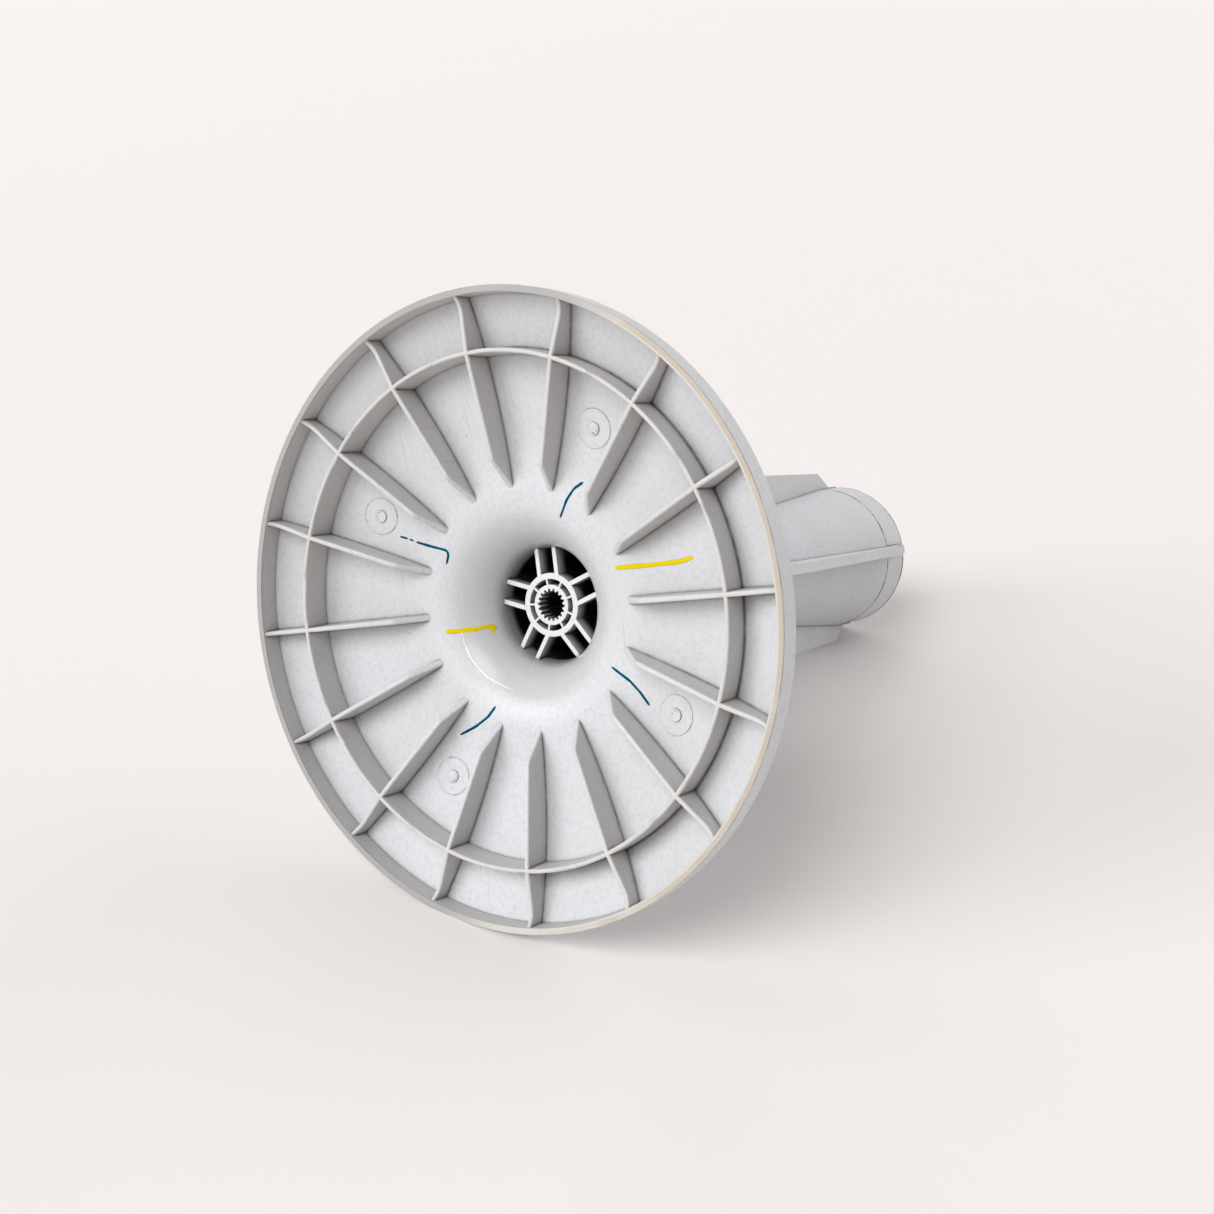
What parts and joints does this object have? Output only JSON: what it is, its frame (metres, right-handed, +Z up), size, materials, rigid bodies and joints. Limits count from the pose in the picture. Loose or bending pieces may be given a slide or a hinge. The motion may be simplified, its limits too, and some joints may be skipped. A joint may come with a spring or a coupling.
{
  "type": "washing machine agitator",
  "caption": "One-piece washing machine agitator: a ribbed domed skirt, a hollow flared barrel with straight vanes, and a splined drive hub on spokes in its well.",
  "frame": {"origin": "centre of the rim's bottom face, on the surface that the skirt stands on", "axes": "+Z runs up the barrel along the drive shaft's axis; +X and +Y each run out along a vane"},
  "size_m": [0.337, 0.337, 0.438],
  "materials": {
    "body_plastic": "light grey-white moulded polypropylene, satin, with a warm tint of dirt on the rim and faint marker strokes"
  },
  "bodies": {
    "root": {"agitator_body": "body_plastic"}
  },
  "joints": []
}
